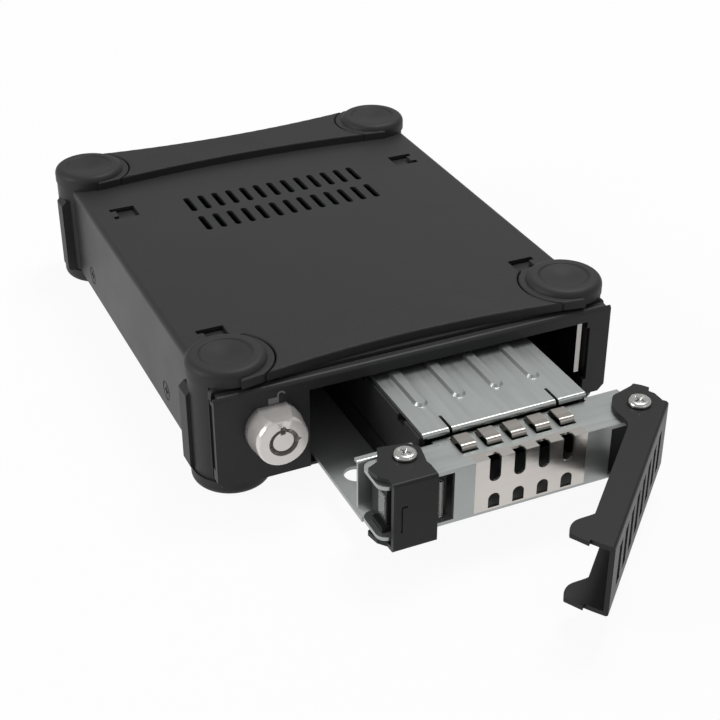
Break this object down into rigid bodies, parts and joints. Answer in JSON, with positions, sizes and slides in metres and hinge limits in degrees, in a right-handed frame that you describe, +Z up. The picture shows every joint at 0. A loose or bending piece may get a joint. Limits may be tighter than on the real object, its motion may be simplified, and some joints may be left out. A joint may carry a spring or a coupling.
{
  "type": "external drive enclosure",
  "caption": "Black desktop enclosure on rubber corner posts with a keyed lock and a pull-out metal drive tray with a swing lever.",
  "frame": {"origin": "on the surface it stands on, at the middle of its outline as stored, tray drawn out and lever open", "axes": "+Z up, +Y towards the rear panel, +X to the right seen from the front"},
  "size_m": [0.1162, 0.2256, 0.0358],
  "materials": {
    "black_steel": "fine matt powder coat",
    "black_lever": "satin powder coat",
    "rubber": "matt moulded",
    "band_plastic": "fine texture",
    "black_plastic": "matt",
    "zinc_steel": "satin zinc",
    "ribbed_steel": "satin zinc",
    "spring_steel": "bright",
    "bright_screws": "polished",
    "black_screws": "satin black",
    "lock_chrome": "satin",
    "board": "solder mask",
    "clear": "smoky clear"
  },
  "bodies": {
    "case": {"case_cover": "black_steel", "base_plate": "black_steel", "front_panel": "black_steel", "rear_panel": "black_steel", "front_band": "band_plastic", "rear_band": "band_plastic", "corner_post_front_left": "rubber", "corner_post_front_right": "rubber", "corner_post_rear_left": "rubber", "corner_post_rear_right": "rubber", "case_screws": "black_screws", "tray_cage": "black_steel", "edge_clip": "spring_steel", "guide_rail_left": "black_plastic", "guide_rail_right": "black_plastic", "backplane_board": "board", "drive_socket": "black_plastic", "bridge_board": "board", "board_spacers": "bright_screws", "board_screws": "bright_screws", "board_link": "black_plastic", "usb_socket": "zinc_steel", "power_jack": "black_plastic", "switch_body": "black_plastic", "lock_barrel": "lock_chrome", "lock_nut": "zinc_steel"},
    "tray": {"tray_floor": "zinc_steel", "tray_front": "zinc_steel", "shield_plate": "spring_steel", "shield_springs": "spring_steel", "carrier_box": "black_plastic", "carrier_board": "board", "drive_plug": "black_plastic", "ribbed_plate": "ribbed_steel", "side_hook": "zinc_steel", "latch_block": "black_plastic", "lever_block": "black_plastic", "light_guide": "clear", "pivot_screws": "bright_screws"},
    "lever": {"lever": "black_lever"},
    "release": {"release_bracket": "black_lever"},
    "lock": {"lock_core": "lock_chrome", "lock_cam": "zinc_steel", "cam_screw": "bright_screws"},
    "rocker": {"switch_rocker": "black_plastic"}
  },
  "joints": [
    {"name": "tray_slide", "type": "slide", "parent": "case", "child": "tray", "axis": [0, -1, 0], "range_m": [-0.04, 0.075]},
    {"name": "lever_swing", "type": "hinge", "parent": "tray", "child": "lever", "pos_m": [0.0408, -0.06781, 0.0157], "axis": [0, 0, 1], "range_deg": [-45, 15]},
    {"name": "release_press", "type": "hinge", "parent": "tray", "child": "release", "pos_m": [-0.0202, -0.0641, 0.0157], "axis": [0, 0, -1], "range_deg": [0, 5], "stiffness_Nm_per_rad": 0.05, "springref_deg": -11.46},
    {"name": "lock_turn", "type": "hinge", "parent": "case", "child": "lock", "pos_m": [-0.0404, -0.0325, 0.0196], "axis": [0, -1, 0], "range_deg": [0, 90]},
    {"name": "switch_rock", "type": "hinge", "parent": "case", "child": "rocker", "pos_m": [-0.034, 0.10999, 0.0197], "axis": [1, 0, 0], "range_deg": [-18, 0]}
  ]
}
